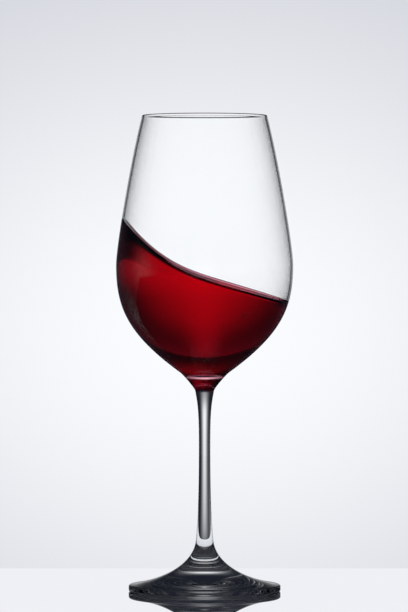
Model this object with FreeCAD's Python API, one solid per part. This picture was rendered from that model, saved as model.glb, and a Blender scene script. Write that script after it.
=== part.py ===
"""A stemmed glass of red wine, with the wine swung up one side of the bowl.

The glass is one turned solid: a foot, a drawn stem and a thin-walled bowl.
The wine fills the bowl up to a slanting, curved surface.
The frame stands on the table: the origin is the middle of the foot's underside and +Z is up.
Lengths are millimetres.  The wine is highest at -X and a little higher at +Y than at -Y.
"""
import FreeCAD
import Part
import math
import os

# Foot: a shallow cone on a flat ring, hollowed underneath.
foot_radius = 37.5
foot_edge_height = 3.2
foot_edge_round = 0.8
foot_seat_round = 0.9
foot_seat_width = 2.0
foot_hollow_depth = 2.4
foot_top_slope = 0.146

# Stem: it leaves the foot in a flare, thins to a waist and widens again under the bowl.
flare_height = 22.0
flare_top_radius = 4.25
flare_lean = 0.103
lower_stem_length = 42.8
stem_waist_radius = 2.83
upper_stem_length = 31.0

# Neck: the solid glass between the stem and the bowl.
neck_radius = 4.65
neck_lean = 0.188
neck_height = 8.9
bowl_base_radius = 12.0
bowl_base_lean = 1.378

# Bowl: rounded from its base out to the belly, then drawn in to the rim.
lower_bowl_height = 53.0
belly_radius = 43.7
upper_bowl_height = 74.1
rim_radius = 30.9
rim_lean = 0.262

# Wall of the bowl, and the rounded floor inside it.
rim_wall = 1.2
belly_wall = 1.2
base_wall = 2.5
floor_thickness = 8.7
floor_lean = 1.5

# Surface of the wine: its height at the axis, its slope, and the climb up the -X wall.
wine_height = 47.3
wine_slope = 0.30
wine_climb = 20.5
wine_climb_start = 10.0
wine_back_rise = 0.020
wine_surface_points = 9

# Heights above the table, each stacked on the one below.
flare_top = foot_edge_height + flare_height
stem_waist = flare_top + lower_stem_length
neck_bottom = stem_waist + upper_stem_length
bowl_base = neck_bottom + neck_height
belly = bowl_base + lower_bowl_height
rim = belly + upper_bowl_height
bowl_floor = neck_bottom + floor_thickness

# Shares of a curve's length over which it keeps its direction, at its lower and its upper end.
foot_edge_keeps = (0.4, 0.4)
flare_keeps = (0.42, 0.31)
lower_stem_keeps = (0.18, 0.45)
upper_stem_keeps = (0.64, 0.27)
neck_keeps = (0.12, 0.15)
lower_bowl_keeps = (0.535, 0.327)
upper_bowl_keeps = (0.128, 0.273)
floor_keeps = (0.36, 0.30)
inner_bowl_keeps = (0.522, 0.34)


def at(radius, height):
    """A point of the turned profile."""
    return FreeCAD.Vector(radius, 0, height)


def way(outward, upward):
    """A unit direction in the plane of the profile."""
    return FreeCAD.Vector(outward, 0, upward).normalize()


def flow(start, start_way, end, end_way, keeps):
    """A smooth edge that climbs from start along start_way and arrives at end along end_way."""
    span = (end - start).Length
    curve = Part.BezierCurve()
    curve.setPoles([
        start,
        start + start_way * (keeps[0] * span),
        end - end_way * (keeps[1] * span),
        end,
    ])
    return curve.toShape()


def arc(start, middle, end):
    """A circular edge through three points."""
    return Part.Arc(start, middle, end).toShape()


def line(start, end):
    """A straight edge."""
    return Part.LineSegment(start, end).toShape()


def quarter_round(start, corner, end):
    """A quarter circle that takes the place of a square corner."""
    centre = start + end - corner
    middle = centre + (corner - centre) * math.sqrt(0.5)
    return arc(start, middle, end)


def turned(edges):
    """The solid that a closed outline makes when it is turned about the Z axis."""
    face = Part.Face(Part.Wire(edges))
    solid = face.revolve(FreeCAD.Vector(0, 0, 0), FreeCAD.Vector(0, 0, 1), 360)
    return Part.Solid(solid.Shells[0])


# Directions that two neighbouring curves share, all taken going up and outward.
up = way(0, 1)
flare_way = way(-flare_lean, 1)
neck_way = way(neck_lean, 1)
base_way = way(bowl_base_lean, 1)
floor_way = way(floor_lean, 1)
rim_way = way(-rim_lean, 1)
out = way(1, 0)

# The flare of the foot ends, and the stem starts, here.
flare_end = at(flare_top_radius, flare_top)

# The lip is a half circle across the wall, square to the way the wall arrives.
lip_half = rim_wall / 2
lip_centre = at(rim_radius - lip_half, rim - lip_half)
lip_out = way(1, rim_lean)
lip_outer = lip_centre + lip_out * lip_half
lip_top = lip_centre + rim_way * lip_half
lip_inner = lip_centre - lip_out * lip_half

# The inner wall ends where the wall is base_wall thick, square to the bowl's base.
base_outer = at(bowl_base_radius, bowl_base)
base_inner = base_outer + way(-1, bowl_base_lean) * base_wall
belly_outer = at(belly_radius, belly)
belly_inner = at(belly_radius - belly_wall, belly)
floor_middle = at(0, bowl_floor)


def inner_bowl_edges():
    """The inside of the bowl, listed from the rim down to the middle of the floor."""
    return [
        flow(belly_inner, up, lip_inner, rim_way, upper_bowl_keeps),
        flow(base_inner, floor_way, belly_inner, up, inner_bowl_keeps),
        flow(floor_middle, out, base_inner, floor_way, floor_keeps),
    ]


def foot_edges():
    """The foot, from the middle of its hollow, round its edge and up to the stem."""
    seat_outer = foot_radius - foot_seat_round
    seat_inner = seat_outer - foot_seat_width
    hollow_radius = (seat_inner ** 2 + foot_hollow_depth ** 2) / (2 * foot_hollow_depth)
    half_way = seat_inner / 2
    half_rise = foot_hollow_depth - hollow_radius + math.sqrt(hollow_radius ** 2 - half_way ** 2)
    edge_top = at(foot_radius - foot_edge_round, foot_edge_height)
    edge_side = at(foot_radius, foot_edge_height - foot_edge_round)
    top_way = way(-1, foot_top_slope)
    return [
        arc(at(0, foot_hollow_depth), at(half_way, half_rise), at(seat_inner, 0)),
        line(at(seat_inner, 0), at(seat_outer, 0)),
        quarter_round(at(seat_outer, 0), at(foot_radius, 0), at(foot_radius, foot_seat_round)),
        line(at(foot_radius, foot_seat_round), edge_side),
        flow(edge_side, up, edge_top, top_way, foot_edge_keeps),
        flow(edge_top, top_way, flare_end, flare_way, flare_keeps),
    ]


def make_glass():
    """The foot, stem and bowl as one solid."""
    waist = at(stem_waist_radius, stem_waist)
    neck_start = at(neck_radius, neck_bottom)
    edges = foot_edges()
    edges += [
        flow(flare_end, flare_way, waist, up, lower_stem_keeps),
        flow(waist, up, neck_start, neck_way, upper_stem_keeps),
        flow(neck_start, neck_way, base_outer, base_way, neck_keeps),
        flow(base_outer, base_way, belly_outer, up, lower_bowl_keeps),
        flow(belly_outer, up, lip_outer, rim_way, upper_bowl_keeps),
        arc(lip_outer, lip_top, lip_inner),
    ]
    edges += inner_bowl_edges()
    edges.append(line(floor_middle, at(0, foot_hollow_depth)))
    return turned(edges)


def wine_surface_height(across):
    """Height of the wine over the middle of the bowl, at a distance along X."""
    reach = max(0, wine_climb_start - across) / (wine_climb_start + belly_radius)
    return bowl_floor + wine_height - wine_slope * across + wine_climb * reach ** 3


def make_wine():
    """The inside of the bowl, up to the slanting surface of the wine."""
    edges = inner_bowl_edges()
    mouth_middle = at(0, lip_inner.z)
    edges.append(line(floor_middle, mouth_middle))
    edges.append(line(mouth_middle, lip_inner))
    inside = turned(edges)
    half_width = belly_radius + wine_climb_start
    front_drop = wine_back_rise * half_width
    crest_line = []
    for step in range(wine_surface_points):
        across = half_width * (2 * step / (wine_surface_points - 1) - 1)
        crest_line.append(FreeCAD.Vector(across, -half_width, wine_surface_height(across) - front_drop))
    curve = Part.BSplineCurve()
    curve.interpolate(crest_line)
    surface = curve.toShape().extrude(FreeCAD.Vector(0, 2 * half_width, 2 * front_drop))
    air = surface.extrude(FreeCAD.Vector(0, 0, rim))
    return inside.cut(air).Solids[0]


parts = {"glass": make_glass(), "wine": make_wine()}
os.makedirs("parts", exist_ok=True)
for name, shape in parts.items():
    shape.exportStep("parts/" + name + ".step")
    print(name, "valid", shape.isValid(), "volume in ml", round(shape.Volume / 1000, 2))
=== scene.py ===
"""A stemmed glass of red wine on a pale table, with the wine swung up one side of the bowl.

The frame is in metres, stands on the table at Z = 0 and looks along +Y from the front.
The glass is turned from the same named sizes as the solid model.
The wine is poured into it, a little way into the wall, with its edge drawn up the glass.
"""
import math
import random

import bmesh
import bpy
from bpy.props import FloatProperty, FloatVectorProperty, IntProperty, PointerProperty
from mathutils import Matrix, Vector, geometry


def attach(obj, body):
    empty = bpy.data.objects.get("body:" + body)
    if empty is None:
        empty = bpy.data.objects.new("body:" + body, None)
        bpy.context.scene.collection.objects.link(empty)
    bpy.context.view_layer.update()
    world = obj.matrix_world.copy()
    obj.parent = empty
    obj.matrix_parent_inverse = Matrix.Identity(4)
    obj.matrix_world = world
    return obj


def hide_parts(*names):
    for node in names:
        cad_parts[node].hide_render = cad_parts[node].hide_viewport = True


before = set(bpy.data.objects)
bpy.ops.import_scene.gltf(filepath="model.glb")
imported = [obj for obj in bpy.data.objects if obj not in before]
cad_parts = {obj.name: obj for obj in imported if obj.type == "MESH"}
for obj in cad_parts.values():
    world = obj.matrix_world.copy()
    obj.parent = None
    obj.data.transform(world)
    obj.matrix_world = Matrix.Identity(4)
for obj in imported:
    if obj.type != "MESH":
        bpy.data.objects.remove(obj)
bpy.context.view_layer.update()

bl_info = {
    "name": "Glass of Red Wine",
    "version": (1, 0, 0),
    "blender": (4, 5, 0),
    "location": "3D View > Sidebar > Wine Glass",
    "description": "Turns a stemmed glass, pours red wine into it and sets it on a pale table",
    "category": "Object",
}

MM = 0.001
UP = Vector((0, 0, 1))
OUT = Vector((1, 0, 0))
ON_AXIS = 1e-7
SAME_PLACE = 1e-6

# The wine's mesh: rings up the wall, over the drawn-up edge and across the rest of the surface,
# and how far in from the wall the last of them lies.
WALL_RINGS = 84
EDGE_RINGS = 20
SURFACE_RINGS = 9
SURFACE_RINGS_END = 22 * MM

# Bubbles: the side they are on in degrees, their radii and depths in millimetres, their gap to the
# wall, how far from the axis their depth is measured, and the radius outside which the wall starts.
BUBBLE_SEED = 11
BUBBLE_SIDE = (-62, -48)
BUBBLE_RADIUS = (0.45, 0.75)
BUBBLE_DEPTH = (6.0, 11.0)
BUBBLE_WALL_GAP = 0.3 * MM
BUBBLE_FROM_AXIS = 38.0 * MM
FLOOR_RADIUS = 0.02

# Table top: its size, the rounding of its edges, and the depth of the film and the top under Z = 0.
TABLE_WIDTH = 3.0
TABLE_LENGTH = 1.2
TABLE_THICKNESS = 0.02
TABLE_ROUND = 0.003
FILM_DEPTH = 0.00005
TABLE_DEPTH = 0.0001
FLAT_FACE_AREA = 0.01

# Counts of reflections and of surfaces crossed that tell kinds of light apart.
NO_REFLECTION = 0.5
ONE_REFLECTION = 1.5
TWO_SURFACES = 2.5
ANY_FILM = 0.5


def length(name, description, millimetres):
    """A length that a user can set, given in millimetres and kept in metres."""
    return FloatProperty(
        name=name,
        description=description,
        default=millimetres * MM,
        min=0,
        precision=5,
        unit="LENGTH",
        subtype="DISTANCE",
    )


def share(name, description, value, lowest=0.0, highest=1.0):
    """A plain number that a user can set."""
    return FloatProperty(
        name=name, description=description, default=value, min=lowest, max=highest, precision=4
    )


def colour(name, description, value):
    """A colour that a user can set."""
    return FloatVectorProperty(
        name=name, description=description, default=value, min=0, max=1, size=3, subtype="COLOR"
    )


class GlassSizes(bpy.types.PropertyGroup):
    """Sizes of the foot, the stem and the bowl."""

    foot_radius: length("Foot radius", "Radius of the foot", 37.5)
    foot_edge_height: length("Foot edge height", "Height of the foot's edge", 3.2)
    foot_edge_round: length("Foot edge round", "Rounding of the top of the foot's edge", 0.8)
    foot_seat_round: length("Foot seat round", "Rounding under the foot's edge", 0.9)
    foot_seat_width: length("Foot seat width", "Width of the ring that the foot stands on", 2.0)
    foot_hollow_depth: length("Foot hollow depth", "Depth of the hollow under the foot", 2.4)
    foot_top_slope: share("Foot top slope", "Rise of the foot's top towards the stem", 0.146)
    flare_height: length("Flare height", "Height of the flare from foot to stem", 22.0)
    flare_top_radius: length("Flare top radius", "Radius of the stem where the flare ends", 4.25)
    flare_lean: share("Flare lean", "Slope of the stem where the flare ends", 0.103)
    lower_stem_length: length("Lower stem length", "Stem below its waist", 42.8)
    stem_waist_radius: length("Stem waist radius", "Radius of the stem at its waist", 2.83)
    upper_stem_length: length("Upper stem length", "Stem above its waist", 31.0)
    neck_radius: length("Neck radius", "Radius of the stem where the neck starts", 4.65)
    neck_lean: share("Neck lean", "Slope of the stem where the neck starts", 0.188)
    neck_height: length("Neck height", "Height of the neck under the bowl", 8.9)
    bowl_base_radius: length("Bowl base radius", "Radius where the neck meets the bowl", 12.0)
    bowl_base_lean: share("Bowl base lean", "Slope where the neck meets the bowl", 1.378, 0, 5)
    lower_bowl_height: length("Lower bowl height", "Bowl from its base to its belly", 53.0)
    belly_radius: length("Belly radius", "Widest radius of the bowl", 43.7)
    upper_bowl_height: length("Upper bowl height", "Bowl from its belly to its rim", 74.1)
    rim_radius: length("Rim radius", "Radius of the rim", 30.9)
    rim_lean: share("Rim lean", "Slope of the wall at the rim", 0.262)
    rim_wall: length("Rim wall", "Thickness of the wall at the rim", 1.2)
    belly_wall: length("Belly wall", "Thickness of the wall at the belly", 1.2)
    base_wall: length("Base wall", "Thickness of the wall at the base of the bowl", 2.5)
    floor_thickness: length("Floor thickness", "Glass under the middle of the bowl's floor", 8.7)
    floor_lean: share("Floor lean", "Slope of the floor where it meets the wall", 1.5, 0, 5)
    turns: IntProperty(
        name="Turns", description="Facets round the glass", default=192, min=24, max=256
    )
    ring_step: length("Ring step", "Distance between rings along the outline", 1.15)


class WineSizes(bpy.types.PropertyGroup):
    """Level, surface and colour of the wine."""

    height: length("Height", "Depth of the wine over the middle of the floor", 45.05)
    slope: share("Slope", "Fall of the surface towards +X", 0.30)
    climb: length("Climb", "Extra height that the wine has run up the -X wall", 20.5)
    climb_start: length("Climb start", "Where along X the wine starts to climb", 10.0)
    back_rise: share("Back rise", "Rise of the surface towards +Y", 0.003)
    edge_rise: length("Edge rise", "Height that the edge of the wine is drawn up the glass", 2.9)
    edge_reach: length(
        "Edge reach", "How far surface tension reaches: sets the curve of the edge", 2.1
    )
    into_wall: length("Into the wall", "Distance that the wine reaches into the glass", 0.12)
    bubbles: IntProperty(
        name="Bubbles", description="Small bubbles under the surface", default=6, min=0, max=40
    )
    body_colour: colour(
        "Body colour", "Light that gets through a length of the wine", (0.92, 0.12, 0.42)
    )
    strength: FloatProperty(
        name="Strength", description="How fast the wine takes up light", default=100.0, min=0
    )


class StudioLooks(bpy.types.PropertyGroup):
    """Table, backdrop and camera."""

    table_edge: length("Table edge", "Distance from the glass to the far edge of the table", 134.0)
    camera_distance: length("Camera distance", "Distance from the glass to the camera", 1810.0)
    camera_side: FloatProperty(
        name="Camera side",
        description="Distance of the camera to the side of the glass",
        default=-0.3 * MM,
        precision=5,
        unit="LENGTH",
        subtype="DISTANCE",
    )
    camera_height: length("Camera height", "Height of the camera over the table", 166.5)
    aim_height: length("Aim height", "Height of the point that the camera looks at", 140.8)
    lens: FloatProperty(name="Lens", description="Focal length in millimetres", default=215.7)
    glow: colour("Glow", "Brightest light round the glass", (0.965, 0.975, 1.0))
    plain: colour("Plain", "Backdrop away from the glow", (0.56, 0.58, 0.64))
    table_light: colour("Table light", "Light that reaches the table", (0.90, 0.91, 0.935))
    shade: colour("Shade", "Darkest sides of the studio", (0.012, 0.014, 0.022))


# Shares of a curve's length over which it keeps its direction, at its lower and its upper end.
KEEPS = {
    "foot_edge": (0.4, 0.4),
    "flare": (0.42, 0.31),
    "lower_stem": (0.18, 0.45),
    "upper_stem": (0.64, 0.27),
    "neck": (0.12, 0.15),
    "lower_bowl": (0.535, 0.327),
    "upper_bowl": (0.128, 0.273),
    "floor": (0.36, 0.30),
    "inner_bowl": (0.522, 0.34),
}


def at(radius, height):
    """A point of the turned outline."""
    return Vector((radius, 0, height))


def way(outward, upward):
    """A unit direction in the plane of the outline."""
    return Vector((outward, 0, upward)).normalized()


def flow(start, start_way, end, end_way, keeps, step, fewest=10):
    """Points of a smooth curve that leaves start along start_way, and ends along end_way."""
    span = (end - start).length
    first = start + start_way * (keeps[0] * span)
    last = end - end_way * (keeps[1] * span)
    count = max(fewest, math.ceil(span / step)) + 1
    return geometry.interpolate_bezier(start, first, last, end, count)


def round_corner(centre, radius, first_turn, last_turn, count=10):
    """Points of an arc between two angles, measured from outward to upward."""
    points = []
    for step in range(count + 1):
        turn = math.radians(first_turn + (last_turn - first_turn) * step / count)
        points.append(centre + Vector((math.cos(turn), 0, math.sin(turn))) * radius)
    return points


def joined(*curves):
    """One list of points from several curves that follow each other."""
    points = []
    for curve in curves:
        for point in curve:
            if not points or (point - points[-1]).length > SAME_PLACE:
                points.append(point)
    return points


class GlassOutline:
    """The places that the curves of the glass run through, stacked up from the table."""

    def __init__(self, sizes):
        self.sizes = sizes
        self.flare_top = sizes.foot_edge_height + sizes.flare_height
        self.waist = self.flare_top + sizes.lower_stem_length
        self.neck_bottom = self.waist + sizes.upper_stem_length
        self.bowl_base = self.neck_bottom + sizes.neck_height
        self.belly = self.bowl_base + sizes.lower_bowl_height
        self.rim = self.belly + sizes.upper_bowl_height
        self.bowl_floor = self.neck_bottom + sizes.floor_thickness
        self.base_way = way(sizes.bowl_base_lean, 1)
        self.rim_way = way(-sizes.rim_lean, 1)
        self.floor_way = way(sizes.floor_lean, 1)
        half = sizes.rim_wall / 2
        self.lip_centre = at(sizes.rim_radius - half, self.rim - half)
        self.lip_out = way(1, sizes.rim_lean)
        self.lip_outer = self.lip_centre + self.lip_out * half
        self.lip_inner = self.lip_centre - self.lip_out * half
        self.base_outer = at(sizes.bowl_base_radius, self.bowl_base)
        self.base_inner = self.base_outer + way(-1, sizes.bowl_base_lean) * sizes.base_wall
        self.belly_outer = at(sizes.belly_radius, self.belly)
        self.belly_inner = at(sizes.belly_radius - sizes.belly_wall, self.belly)

    def inside(self):
        """The inside of the bowl, from the middle of its floor up to the lip."""
        step = self.sizes.ring_step
        floor_middle = at(0, self.bowl_floor)
        return joined(
            flow(floor_middle, OUT, self.base_inner, self.floor_way, KEEPS["floor"], step),
            flow(self.base_inner, self.floor_way, self.belly_inner, UP, KEEPS["inner_bowl"], step),
            flow(self.belly_inner, UP, self.lip_inner, self.rim_way, KEEPS["upper_bowl"], step),
        )

    def outside(self):
        """The outside, from the middle of the hollow under the foot up to the lip."""
        s = self.sizes
        step = s.ring_step
        seat_outer = s.foot_radius - s.foot_seat_round
        seat_inner = seat_outer - s.foot_seat_width
        hollow_radius = (seat_inner**2 + s.foot_hollow_depth**2) / (2 * s.foot_hollow_depth)
        hollow_centre = at(0, s.foot_hollow_depth - hollow_radius)
        half_turn = math.degrees(math.asin(seat_inner / hollow_radius))
        edge_side = at(s.foot_radius, s.foot_edge_height - s.foot_edge_round)
        edge_top = at(s.foot_radius - s.foot_edge_round, s.foot_edge_height)
        top_way = way(-1, s.foot_top_slope)
        flare_end = at(s.flare_top_radius, self.flare_top)
        flare_way = way(-s.flare_lean, 1)
        waist = at(s.stem_waist_radius, self.waist)
        neck_start = at(s.neck_radius, self.neck_bottom)
        neck_way = way(s.neck_lean, 1)
        lip_lean = math.degrees(math.atan(s.rim_lean))
        return joined(
            round_corner(hollow_centre, hollow_radius, 90, 90 - half_turn, 30),
            round_corner(at(seat_outer, s.foot_seat_round), s.foot_seat_round, -90, 0),
            flow(edge_side, UP, edge_top, top_way, KEEPS["foot_edge"], step),
            flow(edge_top, top_way, flare_end, flare_way, KEEPS["flare"], step),
            flow(flare_end, flare_way, waist, UP, KEEPS["lower_stem"], step),
            flow(waist, UP, neck_start, neck_way, KEEPS["upper_stem"], step),
            flow(neck_start, neck_way, self.base_outer, self.base_way, KEEPS["neck"], step / 2),
            flow(self.base_outer, self.base_way, self.belly_outer, UP, KEEPS["lower_bowl"], step),
            flow(self.belly_outer, UP, self.lip_outer, self.rim_way, KEEPS["upper_bowl"], step),
            round_corner(self.lip_centre, s.rim_wall / 2, lip_lean, lip_lean + 180),
        )


def turned_rings(mesh, outline, turns):
    """Rings of vertices of an outline turned about the Z axis; one vertex for a point on it."""
    rings = []
    for point in outline:
        if point.x < ON_AXIS:
            rings.append([mesh.verts.new((0, 0, point.z))])
            continue
        ring = []
        for turn in range(turns):
            angle = 2 * math.pi * turn / turns
            ring.append(
                mesh.verts.new((point.x * math.cos(angle), point.x * math.sin(angle), point.z))
            )
        rings.append(ring)
    return rings


def join_rings(mesh, rings):
    """Faces between each ring and the next."""
    for lower, upper in zip(rings, rings[1:]):
        turns = max(len(lower), len(upper))
        for turn in range(turns):
            corners = [
                lower[turn % len(lower)],
                lower[(turn + 1) % len(lower)],
                upper[(turn + 1) % len(upper)],
                upper[turn % len(upper)],
            ]
            corners = [c for i, c in enumerate(corners) if c not in corners[:i]]
            mesh.faces.new(corners)


def add_piece(name, mesh, material):
    """The object of a finished mesh, smooth-shaded."""
    for face in mesh.faces:
        face.smooth = True
    data = bpy.data.meshes.new(name)
    mesh.to_mesh(data)
    mesh.free()
    data.materials.append(material)
    piece = bpy.data.objects.new(name, data)
    bpy.context.scene.collection.objects.link(piece)
    return piece


class NodeDesk:
    """A material's or a world's nodes, with short ways to add and join them."""

    def __init__(self, owner):
        owner.use_nodes = True
        self.tree = owner.node_tree
        self.tree.nodes.clear()

    def add(self, kind, **settings):
        """A node with some of its settings changed."""
        node = self.tree.nodes.new(kind)
        for key, value in settings.items():
            setattr(node, key, value)
        return node

    def feed(self, socket, value):
        """Joins an output to a socket, or sets the socket to a plain value."""
        if isinstance(value, bpy.types.NodeSocket):
            self.tree.links.new(value, socket)
        else:
            socket.default_value = value

    def sum(self, operation, first, second=0.0, third=0.0):
        """The result of one step of arithmetic."""
        node = self.add("ShaderNodeMath", operation=operation)
        self.feed(node.inputs[0], first)
        self.feed(node.inputs[1], second)
        self.feed(node.inputs[2], third)
        return node.outputs[0]

    def bell(self, value, middle, width):
        """A bell curve that is 1 at the middle."""
        away = self.sum("DIVIDE", self.sum("SUBTRACT", value, middle), width)
        square = self.sum("MULTIPLY", away, away)
        return self.sum("EXPONENT", self.sum("MULTIPLY", square, -0.5))

    def glow(self, side, tilt, lobes):
        """Soft patches of light: brightness, then side, width, tilt and height in degrees."""
        total = 0.0
        for amount, middle, width, height, depth in lobes:
            across = self.bell(side, math.radians(middle), math.radians(width))
            upright = self.bell(tilt, math.radians(height), math.radians(depth))
            patch = self.sum("MULTIPLY", across, upright)
            total = self.sum("MULTIPLY_ADD", patch, amount, total)
        return total

    def blend(self, share, first, second):
        """A mix of two colours."""
        node = self.add("ShaderNodeMix", data_type="RGBA", clamp_factor=False)
        self.feed(node.inputs["Factor"], share)
        self.feed(node.inputs[6], first)
        self.feed(node.inputs[7], second)
        return node.outputs[2]

    def noise(self, scale, detail):
        """Noise fixed to the object."""
        node = self.add("ShaderNodeTexNoise")
        node.inputs["Scale"].default_value = scale
        node.inputs["Detail"].default_value = detail
        self.feed(node.inputs["Vector"], self.add("ShaderNodeTexCoord").outputs["Object"])
        return node.outputs["Fac"]

    def ramp(self, value, *stops):
        """A colour ramp through stops of place and colour."""
        node = self.add("ShaderNodeValToRGB")
        marks = node.color_ramp.elements
        for mark, (place, shade) in zip((marks[0], marks[1]), (stops[0], stops[-1])):
            mark.position = place
            mark.color = (*shade, 1)
        for place, shade in stops[1:-1]:
            marks.new(place).color = (*shade, 1)
        self.feed(node.inputs["Fac"], value)
        return node.outputs["Color"]


def clear_glass():
    """Clear drawn glass: faintly uneven, with a trace of handling on it."""
    material = bpy.data.materials.new("clear_drawn_glass")
    desk = NodeDesk(material)
    shader = desk.add("ShaderNodeBsdfPrincipled")
    shader.inputs["Transmission Weight"].default_value = 1.0
    shader.inputs["IOR"].default_value = 1.5
    tint = desk.ramp(
        desk.noise(18.0, 3.0), (0.3, (0.985, 0.992, 0.995)), (0.7, (0.997, 0.998, 0.998))
    )
    desk.feed(shader.inputs["Base Color"], tint)
    bloom = desk.ramp(desk.noise(60.0, 4.0), (0.35, (0.0,) * 3), (0.8, (0.02,) * 3))
    desk.feed(shader.inputs["Roughness"], bloom)
    bump = desk.add("ShaderNodeBump")
    bump.inputs["Strength"].default_value = 0.012
    bump.inputs["Distance"].default_value = 0.001
    desk.feed(bump.inputs["Height"], desk.noise(25.0, 2.0))
    desk.feed(shader.inputs["Normal"], bump.outputs["Normal"])
    output = desk.add("ShaderNodeOutputMaterial")
    desk.feed(output.inputs["Surface"], shader.outputs[0])
    return material


def red_wine(wine):
    """Deep red wine, clear, that takes up green and blue light within a few millimetres."""
    material = bpy.data.materials.new("deep_red_wine")
    desk = NodeDesk(material)
    shader = desk.add("ShaderNodeBsdfPrincipled")
    shader.inputs["Transmission Weight"].default_value = 1.0
    shader.inputs["IOR"].default_value = 1.344
    shader.inputs["Roughness"].default_value = 0.0
    tint = desk.ramp(desk.noise(40.0, 3.0), (0.3, (0.975, 0.34, 0.44)), (0.7, (1.0, 0.42, 0.52)))
    desk.feed(shader.inputs["Base Color"], tint)
    body = desk.add("ShaderNodeVolumeAbsorption")
    body.inputs["Color"].default_value = (*wine.body_colour, 1)
    body.inputs["Density"].default_value = wine.strength
    output = desk.add("ShaderNodeOutputMaterial")
    desk.feed(output.inputs["Surface"], shader.outputs[0])
    desk.feed(output.inputs["Volume"], body.outputs[0])
    return material


def polished_table():
    """Pale table top, polished so that it mirrors whatever stands on it at a low angle."""
    material = bpy.data.materials.new("pale_polished_table")
    desk = NodeDesk(material)
    body = desk.add("ShaderNodeBsdfDiffuse")
    tone = desk.ramp(desk.noise(6.0, 4.0), (0.3, (0.84, 0.86, 0.89)), (0.7, (0.87, 0.89, 0.92)))
    desk.feed(body.inputs["Color"], tone)
    polish = desk.add("ShaderNodeBsdfGlossy")
    polish.inputs["Color"].default_value = (0.955, 0.96, 0.975, 1)
    polish.inputs["Roughness"].default_value = 0.0
    facing = desk.add("ShaderNodeLayerWeight").outputs["Facing"]
    share = desk.ramp(facing, (0.55, (0.08,) * 3), (0.76, (0.35,) * 3), (0.89, (0.985,) * 3))
    blend = desk.add("ShaderNodeMixShader")
    desk.feed(blend.inputs[0], share)
    desk.feed(blend.inputs[1], body.outputs[0])
    desk.feed(blend.inputs[2], polish.outputs[0])
    output = desk.add("ShaderNodeOutputMaterial")
    desk.feed(output.inputs["Surface"], blend.outputs[0])
    return material


# Soft patches of light round the glass. Each row is a patch's brightness, then its side, width,
# tilt and height in degrees from straight behind the glass.
# The five lists are for the backdrop itself, what is mirrored, what shows through glass and wine,
# what shows through them with no reflection on the way, and what solid glass shows.
BACKDROP = (
    (1.0, 0.0, 4.8, -1.2, 3.7),
    (0.9, -90.0, 9.0, -3.0, 6.0),
    (0.9, 135.0, 10.0, -12.0, 8.0),
    (0.9, -45.0, 10.0, -22.0, 8.0),
    (0.9, 180.0, 10.0, -3.0, 8.0),
    (0.9, -180.0, 10.0, -3.0, 8.0),
)
MIRRORED = ((0.5, 0.0, 7.0, 4.0, 5.0),)
THROUGH_GLASS = (
    (0.6, 0.0, 35.0, 0.0, 4.0),
    (0.6, 0.0, 15.0, 8.0, 8.0),
    (0.3, 0.0, 5.0, 25.0, 15.0),
    (0.8, 0.0, 20.0, -10.0, 5.0),
    (0.3, 0.0, 40.0, 60.0, 20.0),
)
STRAIGHT_THROUGH = (
    (1.2, -90.0, 20.0, 0.0, 12.0),
    (1.2, 135.0, 20.0, -12.0, 14.0),
    (1.2, -45.0, 12.0, -24.0, 14.0),
    (1.2, 180.0, 20.0, 0.0, 12.0),
    (1.2, -180.0, 20.0, 0.0, 12.0),
)
THROUGH_SOLID_GLASS = (
    (1.0, 0.0, 11.0, 0.0, 6.0),
    (1.0, -90.0, 11.0, -3.0, 7.0),
    (1.0, 135.0, 11.0, -14.0, 9.0),
    (1.0, -45.0, 11.0, -24.0, 9.0),
    (1.0, 180.0, 11.0, -3.0, 7.0),
    (1.0, -180.0, 11.0, -3.0, 7.0),
)


def clear_film():
    """A film that changes no light, but by which light that has touched the table can be told."""
    material = bpy.data.materials.new("clear_film")
    desk = NodeDesk(material)
    output = desk.add("ShaderNodeOutputMaterial")
    desk.feed(output.inputs["Surface"], desk.add("ShaderNodeBsdfTransparent").outputs[0])
    return material


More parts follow.
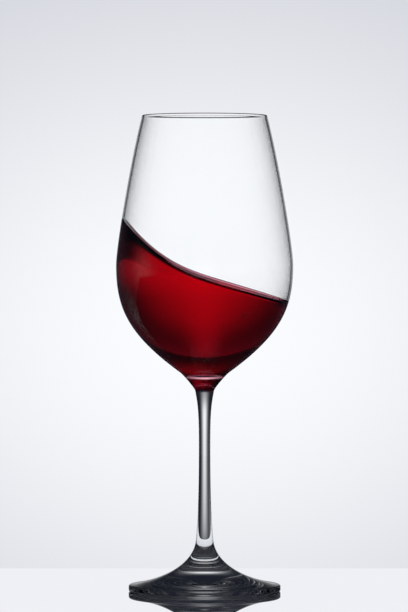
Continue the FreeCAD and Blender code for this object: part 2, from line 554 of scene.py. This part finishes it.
def lit_backdrop(looks):
    """The studio round the glass: pale, with dark sides for the glass to show up against.

    What the camera sees, what is mirrored, what shows through glass and what lights the table
    each have light of their own.
    """
    world = bpy.data.worlds.new("lit_backdrop")
    world.cycles.sampling_method = "NONE"
    desk = NodeDesk(world)
    parts = desk.add("ShaderNodeSeparateXYZ")
    desk.feed(parts.inputs[0], desk.add("ShaderNodeTexCoord").outputs["Generated"])
    x, y, z = parts.outputs
    side = desk.sum("ARCTAN2", x, y)
    tilt = desk.sum("ARCSINE", z)
    rays = desk.add("ShaderNodeLightPath").outputs
    shade = (*looks.shade, 1)
    glow = (*looks.glow, 1)
    plain = (*looks.plain, 1)
    table_light = (*looks.table_light, 1)
    unreflected = desk.sum("LESS_THAN", rays["Glossy Depth"], NO_REFLECTION)
    reflected_once = desk.sum("LESS_THAN", rays["Glossy Depth"], ONE_REFLECTION)

    seen = desk.blend(desk.glow(side, tilt, BACKDROP), plain, glow)

    mirrored = desk.blend(desk.glow(side, tilt, MIRRORED), shade, glow)
    crossed_film = desk.sum("GREATER_THAN", rays["Transparent Depth"], ANY_FILM)
    off_table = desk.sum("MULTIPLY", crossed_film, reflected_once)
    mirrored = desk.blend(off_table, mirrored, table_light)

    straight = desk.glow(side, tilt, STRAIGHT_THROUGH)
    straight = desk.sum("MULTIPLY", unreflected, straight)
    patches = desk.sum("ADD", desk.glow(side, tilt, THROUGH_GLASS), straight)
    through_walls = desk.blend(patches, shade, glow)
    through_solid = desk.blend(desk.glow(side, tilt, THROUGH_SOLID_GLASS), shade, glow)
    solid = desk.sum("LESS_THAN", rays["Transmission Depth"], TWO_SURFACES)
    through = desk.blend(solid, through_walls, through_solid)

    light = desk.blend(rays["Is Reflection Ray"], through, mirrored)
    light = desk.blend(rays["Is Diffuse Ray"], light, shade)
    bare_table = desk.sum("MULTIPLY", rays["Is Diffuse Ray"], unreflected)
    light = desk.blend(bare_table, light, table_light)
    light = desk.blend(rays["Is Camera Ray"], light, seen)
    background = desk.add("ShaderNodeBackground")
    desk.feed(background.inputs["Color"], light)
    output = desk.add("ShaderNodeOutputWorld")
    desk.feed(output.inputs["Surface"], background.outputs[0])
    return world


class WINEGLASS_OT_turn_glass(bpy.types.Operator):
    """Turn the foot, the stem and the bowl as one piece of clear glass"""

    bl_idname = "wineglass.turn_glass"
    bl_label = "Turn the Glass"

    def execute(self, context):
        sizes = context.scene.glass_sizes
        outline = GlassOutline(sizes)
        mesh = bmesh.new()
        points = joined(outline.outside(), reversed(outline.inside()))
        rings = turned_rings(mesh, points, sizes.turns)
        join_rings(mesh, rings)
        bmesh.ops.recalc_face_normals(mesh, faces=mesh.faces)
        piece = add_piece("turned_glass", mesh, clear_glass())
        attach(piece, "root")
        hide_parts("glass")
        return {"FINISHED"}


def wine_surface(wine, outline, x, y):
    """Height of the wine's surface, without its drawn-up edge."""
    reach = max(0.0, wine.climb_start - x) / (wine.climb_start + outline.sizes.belly_radius)
    level = outline.bowl_floor + wine.height - wine.slope * x
    return level + wine.climb * reach**3 + wine.back_rise * y


def drawn_up_edge(wine):
    """The curve of the edge, from the wall inward: pairs of distance from the wall and rise."""

    def away(rise):
        """How far from a wall a still liquid stands this high, but for a constant."""
        twice = 2 * wine.edge_reach
        return wine.edge_reach * math.acosh(twice / rise) - math.sqrt(twice**2 - rise**2)

    curve = []
    for step in range(EDGE_RINGS):
        rise = wine.edge_rise * (1 - step / EDGE_RINGS) ** 1.6
        curve.append((wine.into_wall + away(rise) - away(wine.edge_rise), rise))
    return curve


def into_the_wall(points, distance):
    """The outline moved outward, square to itself."""
    moved = []
    for index, point in enumerate(points):
        before = points[max(index - 1, 0)]
        after = points[min(index + 1, len(points) - 1)]
        along = (after - before).normalized()
        if index == 0:
            along = OUT
        moved.append(point + Vector((along.z, 0, -along.x)) * distance)
    return moved


def wine_side(wall, wine, outline, angle):
    """Points up the wall at one angle, from beside the floor's middle to the drawn-up edge."""
    along = Vector((math.cos(angle), math.sin(angle), 0))
    lengths = [0.0]
    for before, after in zip(wall, wall[1:]):
        lengths.append(lengths[-1] + (after - before).length)

    def over(point):
        """How far a point of the wall lies over the edge of the wine."""
        level = wine_surface(wine, outline, point.x * along.x, point.x * along.y)
        return point.z - level - wine.edge_rise

    top = next(i for i, point in enumerate(wall) if over(point) > 0)
    low, high = over(wall[top - 1]), over(wall[top])
    edge = lengths[top - 1] + (lengths[top] - lengths[top - 1]) * low / (low - high)
    points = []
    index = 0
    for row in range(1, WALL_RINGS + 1):
        want = edge * row / WALL_RINGS
        while lengths[index + 1] < want:
            index += 1
        part = (want - lengths[index]) / (lengths[index + 1] - lengths[index])
        point = wall[index].lerp(wall[index + 1], part)
        points.append(along * point.x + UP * point.z)
    return points


def add_bubble(mesh, centre, radius):
    """A round hollow in the wine."""
    made = bmesh.ops.create_icosphere(mesh, subdivisions=3, radius=radius)
    bmesh.ops.translate(mesh, verts=made["verts"], vec=centre)
    faces = {face for vert in made["verts"] for face in vert.link_faces}
    bmesh.ops.reverse_faces(mesh, faces=list(faces))


def add_bubbles(mesh, wine, outline, wall):
    """Small bubbles just inside the wall, a little under the surface."""
    chance = random.Random(BUBBLE_SEED)
    for _ in range(wine.bubbles):
        angle = math.radians(chance.uniform(*BUBBLE_SIDE))
        radius = chance.uniform(*BUBBLE_RADIUS) * MM
        depth = chance.uniform(*BUBBLE_DEPTH) * MM
        along = Vector((math.cos(angle), math.sin(angle), 0))
        x, y, _ = along * BUBBLE_FROM_AXIS
        height = wine_surface(wine, outline, x, y) - depth
        inner = next(p for p in wall if p.z > height and p.x > FLOOR_RADIUS)
        reach = inner.x - wine.into_wall - radius - BUBBLE_WALL_GAP
        add_bubble(mesh, along * reach + UP * height, radius)


class WINEGLASS_OT_pour_wine(bpy.types.Operator):
    """Pour the wine, swung up the -X side of the bowl"""

    bl_idname = "wineglass.pour_wine"
    bl_label = "Pour the Wine"

    def execute(self, context):
        wine = context.scene.wine_sizes
        sizes = context.scene.glass_sizes
        outline = GlassOutline(sizes)
        wall = into_the_wall(outline.inside(), wine.into_wall)
        mesh = bmesh.new()
        columns = []
        for turn in range(sizes.turns):
            angle = 2 * math.pi * turn / sizes.turns
            columns.append(wine_side(wall, wine, outline, angle))
        rings = [[mesh.verts.new(wall[0])]]
        for row in range(WALL_RINGS):
            rings.append([mesh.verts.new(column[row]) for column in columns])
        curve = drawn_up_edge(wine)
        for step in range(1, SURFACE_RINGS + 1):
            last = curve[-1][0]
            curve.append((last + (SURFACE_RINGS_END - last) * step / SURFACE_RINGS, 0.0))
        for distance, rise in curve:
            ring = []
            for column in columns:
                edge = Vector((column[-1].x, column[-1].y, 0))
                keep = 1 - distance / edge.length
                x, y = edge.x * keep, edge.y * keep
                height = wine_surface(wine, outline, x, y) + rise
                ring.append(mesh.verts.new((x, y, height)))
            rings.append(ring)
        rings.append([mesh.verts.new((0, 0, wine_surface(wine, outline, 0, 0)))])
        join_rings(mesh, rings)
        bmesh.ops.recalc_face_normals(mesh, faces=mesh.faces)
        add_bubbles(mesh, wine, outline, wall)
        piece = add_piece("poured_wine", mesh, red_wine(wine))
        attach(piece, "root")
        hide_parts("wine")
        return {"FINISHED"}


class WINEGLASS_OT_set_stage(bpy.types.Operator):
    """Set the pale table, the lit backdrop and the camera"""

    bl_idname = "wineglass.set_stage"
    bl_label = "Set the Stage"

    def execute(self, context):
        looks = context.scene.studio_looks
        scene = context.scene
        middle = looks.table_edge - TABLE_LENGTH / 2
        mesh = bmesh.new()
        bmesh.ops.create_cube(mesh, size=1)
        size = (TABLE_WIDTH, TABLE_LENGTH, TABLE_THICKNESS)
        bmesh.ops.scale(mesh, vec=size, verts=mesh.verts)
        place = (0, middle, -TABLE_DEPTH - TABLE_THICKNESS / 2)
        bmesh.ops.translate(mesh, vec=place, verts=mesh.verts)
        bmesh.ops.bevel(
            mesh, geom=mesh.edges[:], offset=TABLE_ROUND, segments=4, affect="EDGES"
        )
        bmesh.ops.recalc_face_normals(mesh, faces=mesh.faces)
        table = add_piece("table", mesh, polished_table())
        for face in table.data.polygons:
            if face.area > FLAT_FACE_AREA:
                face.use_smooth = False

        mesh = bmesh.new()
        bmesh.ops.create_grid(mesh, x_segments=1, y_segments=1, size=1)
        half_size = (TABLE_WIDTH / 2 - TABLE_ROUND, TABLE_LENGTH / 2 - TABLE_ROUND, 1)
        bmesh.ops.scale(mesh, vec=half_size, verts=mesh.verts)
        bmesh.ops.translate(mesh, vec=(0, middle, -FILM_DEPTH), verts=mesh.verts)
        film = add_piece("table_film", mesh, clear_film())

        scene.world = lit_backdrop(looks)

        camera = bpy.data.objects.new("camera", bpy.data.cameras.new("camera"))
        scene.collection.objects.link(camera)
        camera.location = (looks.camera_side, -looks.camera_distance, looks.camera_height)
        aim = Vector((looks.camera_side, 0, looks.aim_height))
        camera.rotation_euler = (aim - camera.location).to_track_quat("-Z", "Y").to_euler()
        camera.data.sensor_width = 36
        camera.data.lens = looks.lens
        camera.data.clip_start = 0.01
        camera.data.clip_end = 500
        scene.camera = camera
        scene.view_settings.view_transform = "Standard"
        scene.cycles.max_bounces = 24
        scene.cycles.transmission_bounces = 24
        scene.cycles.glossy_bounces = 12
        return {"FINISHED"}


class WINEGLASS_PT_maker(bpy.types.Panel):
    """Lists the steps of making the glass of wine, with their sizes"""

    bl_idname = "WINEGLASS_PT_maker"
    bl_label = "Glass of Red Wine"
    bl_space_type = "VIEW_3D"
    bl_region_type = "UI"
    bl_category = "Wine Glass"

    def draw(self, context):
        layout = self.layout
        for step, sizes in STEPS:
            layout.operator(step.bl_idname)
            group = getattr(context.scene, sizes)
            column = layout.column()
            for name in group.bl_rna.properties.keys():
                if name not in {"rna_type", "name"}:
                    column.prop(group, name)


STEPS = (
    (WINEGLASS_OT_turn_glass, "glass_sizes"),
    (WINEGLASS_OT_pour_wine, "wine_sizes"),
    (WINEGLASS_OT_set_stage, "studio_looks"),
)
GROUPS = {"glass_sizes": GlassSizes, "wine_sizes": WineSizes, "studio_looks": StudioLooks}


def register():
    for name, group in GROUPS.items():
        bpy.utils.register_class(group)
        setattr(bpy.types.Scene, name, PointerProperty(type=group))
    for step, _ in STEPS:
        bpy.utils.register_class(step)
    bpy.utils.register_class(WINEGLASS_PT_maker)


def unregister():
    bpy.utils.unregister_class(WINEGLASS_PT_maker)
    for step, _ in reversed(STEPS):
        bpy.utils.unregister_class(step)
    for name, group in reversed(GROUPS.items()):
        delattr(bpy.types.Scene, name)
        bpy.utils.unregister_class(group)


def main():
    """Make the pieces and the stage."""
    register()
    bpy.ops.wineglass.turn_glass()
    bpy.ops.wineglass.pour_wine()
    bpy.ops.wineglass.set_stage()


if __name__ == "__main__":
    main()
